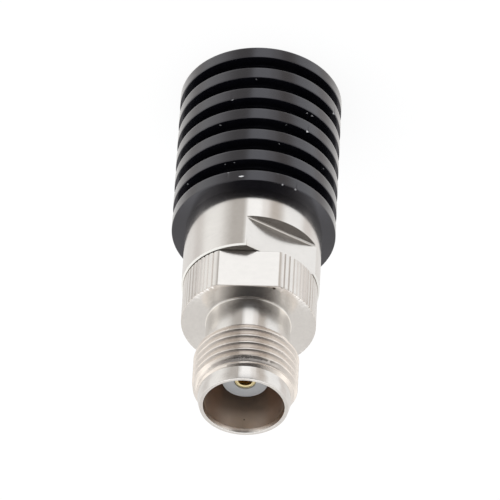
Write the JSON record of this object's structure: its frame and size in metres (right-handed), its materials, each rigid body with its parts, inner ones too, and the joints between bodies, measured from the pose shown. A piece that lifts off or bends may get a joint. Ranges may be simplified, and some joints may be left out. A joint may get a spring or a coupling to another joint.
{
  "type": "coaxial termination",
  "caption": "Coaxial load that ends a line: finned heat sink, steel load body with wrench flats and a threaded female connector.",
  "frame": {"origin": "centre of the heat sink's flat rear face, on which the part stands", "axes": "+Z along the axis, from the heat sink's rear face towards the connector's mouth"},
  "size_m": [0.0172, 0.0172, 0.0423],
  "materials": {
    "black_anodised": "satin black anodised",
    "polished_steel": "polished stainless steel",
    "shell_steel": "turned and passivated stainless steel",
    "white_dielectric": "smooth pale fluoropolymer",
    "gold_plate": "gold plated",
    "bead_plastic": "natural stiff plastic",
    "brass": "turned brass",
    "plated_cap": "silver plated",
    "resistor_ceramic": "ceramic rod with a resistive film",
    "copper": "turned copper",
    "spring_steel": "spring steel"
  },
  "bodies": {
    "root": {"heat_sink": "black_anodised", "load_body": "polished_steel", "connector_shell": "shell_steel", "front_insulator": "white_dielectric", "contact_hood": "gold_plate", "socket_contact": "gold_plate", "support_bead": "bead_plastic", "bead_bush": "brass", "centre_rod": "gold_plate", "resistor_front_cap": "plated_cap", "resistor_rod": "resistor_ceramic", "resistor_rear_cap": "plated_cap", "matching_sleeve": "copper", "ground_collet": "brass", "disc_spring": "spring_steel", "end_plug": "brass"}
  },
  "joints": []
}
